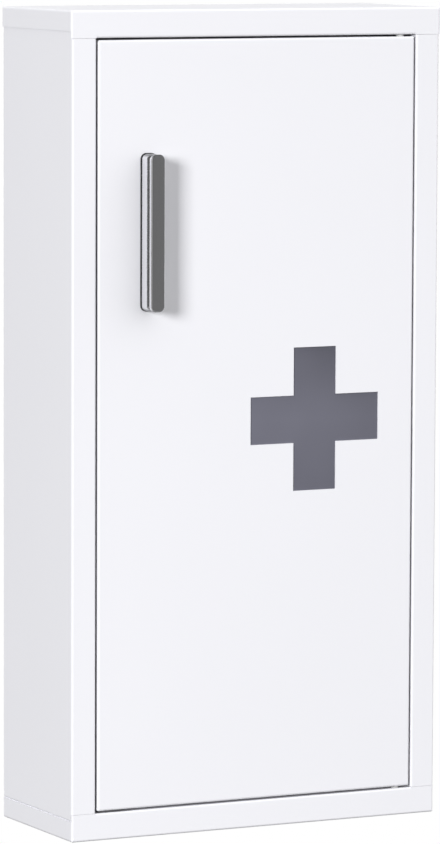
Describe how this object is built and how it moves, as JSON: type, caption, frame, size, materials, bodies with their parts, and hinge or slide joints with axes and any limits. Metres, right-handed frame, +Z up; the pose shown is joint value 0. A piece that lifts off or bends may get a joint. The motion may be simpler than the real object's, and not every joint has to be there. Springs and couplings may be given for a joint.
{
  "type": "lockable medicine cabinet",
  "caption": "Narrow wall cabinet of folded white steel with a flush pivot-hung door, a cross-shaped frosted window, a metal bar handle, shelves, a magnetic catch and a cam lock.",
  "frame": {"origin": "centre of the four wall-screw holes, on the rear face of the back sheet where it meets the wall", "axes": "+X to the right as seen from the front, +Y into the wall, +Z up"},
  "size_m": [0.3, 0.1375, 0.6022],
  "materials": {
    "powder_coat": "fine satin powder coat",
    "handle_metal": "satin polish",
    "frosted_pane": "frosted rear face",
    "white_nylon": "moulded",
    "catch_plastic": "moulded",
    "zinc_plate": "bright zinc plate",
    "lock_chrome": "polished",
    "ferrite": "sintered",
    "stop_rubber": "matt"
  },
  "bodies": {
    "cabinet": {"top_cap": "powder_coat", "bottom_tray": "powder_coat", "left_side_panel": "powder_coat", "right_side_panel": "powder_coat", "back_panel": "powder_coat", "shelf_brackets": "powder_coat", "upper_shelf": "powder_coat", "lower_shelf": "powder_coat", "top_hinge_pin": "zinc_plate", "bottom_hinge_pin": "zinc_plate", "catch_bracket": "powder_coat", "catch_housing": "catch_plastic", "catch_magnet": "ferrite", "catch_pole_plates": "zinc_plate", "catch_screws": "zinc_plate", "door_bumpers": "stop_rubber", "lock_housing": "lock_chrome", "lock_nut": "zinc_plate"},
    "door": {"door_panel": "powder_coat", "top_hinge_bush": "white_nylon", "bottom_hinge_bush": "white_nylon", "window_pane": "frosted_pane", "pane_clips": "zinc_plate", "clip_studs": "zinc_plate", "clip_nuts": "zinc_plate", "door_handle": "handle_metal", "handle_seat": "stop_rubber", "handle_screws": "zinc_plate", "handle_washers": "zinc_plate", "strike_plate": "zinc_plate", "strike_rivets": "zinc_plate"},
    "lock_cylinder": {"lock_plug": "lock_chrome", "lock_cam": "zinc_plate", "lock_cam_screw": "zinc_plate"}
  },
  "joints": [
    {"name": "door_hinge", "type": "hinge", "parent": "cabinet", "child": "door", "pos_m": [0.1186, -0.1155, 0], "axis": [0, 0, 1], "range_deg": [0, 120]},
    {"name": "lock_turn", "type": "hinge", "parent": "cabinet", "child": "lock_cylinder", "pos_m": [-0.1, -0.088, -0.28], "axis": [0, 0, 1], "range_deg": [0, 90]}
  ]
}
